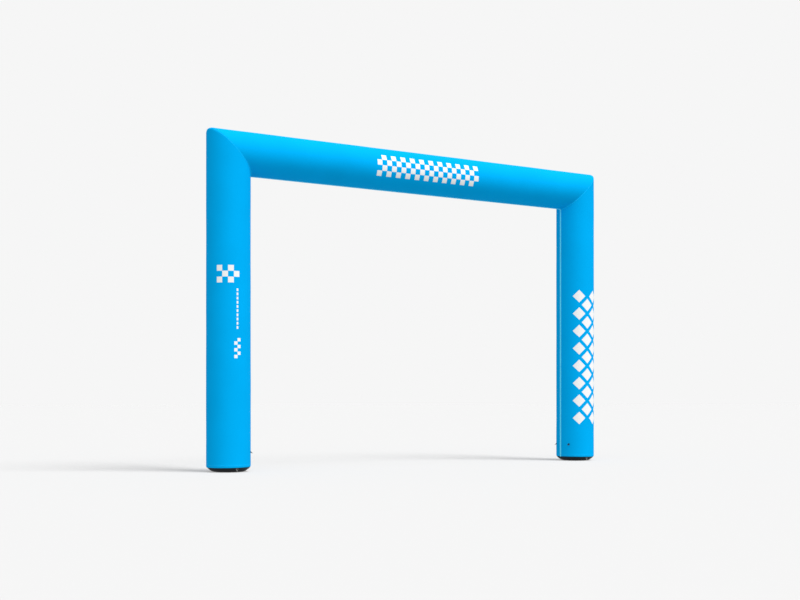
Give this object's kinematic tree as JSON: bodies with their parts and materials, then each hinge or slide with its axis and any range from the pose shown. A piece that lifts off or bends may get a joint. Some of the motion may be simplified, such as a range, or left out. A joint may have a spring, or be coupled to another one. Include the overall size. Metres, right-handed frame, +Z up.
{
  "type": "inflatable arch",
  "caption": "Free-standing inflatable gateway: round upright legs and a level beam of one tube, mitred at the corners, zipped fabric cover, rounded black feet and tie-down rings.",
  "frame": {"origin": "on the ground, midway between the two feet, on the arch's mid-plane", "axes": "+X along the beam to the viewer's right, +Y from the front to the back, +Z up; the front faces -Y"},
  "size_m": [6.65, 0.6, 4.635],
  "materials": {
    "cover_blue": "printed polyester, fine weave, slight sheen",
    "foot_black": "coated fabric, satin",
    "zip_light_blue": "woven zip tape with a coil",
    "webbing_dark": "woven webbing",
    "ring_dark": "black painted wire, satin",
    "ring_grey": "bright wire, lightly dulled"
  },
  "bodies": {
    "root": {"leg_cover_left": "cover_blue", "leg_cover_right": "cover_blue", "beam_cover": "cover_blue", "foot_left": "foot_black", "foot_right": "foot_black", "zip_left": "zip_light_blue", "zip_beam": "zip_light_blue", "zip_right": "zip_light_blue", "ring_tab_left_front": "webbing_dark", "ring_tab_left_back": "webbing_dark", "ring_tab_right_front": "webbing_dark", "ring_tab_right_back": "webbing_dark", "ring_left_front": "ring_dark", "ring_left_back": "ring_dark", "ring_right_front": "ring_dark", "ring_right_back": "ring_dark", "foot_tab_left": "webbing_dark", "foot_tab_right": "webbing_dark", "foot_ring_left": "ring_grey", "foot_ring_right": "ring_grey"}
  },
  "joints": []
}
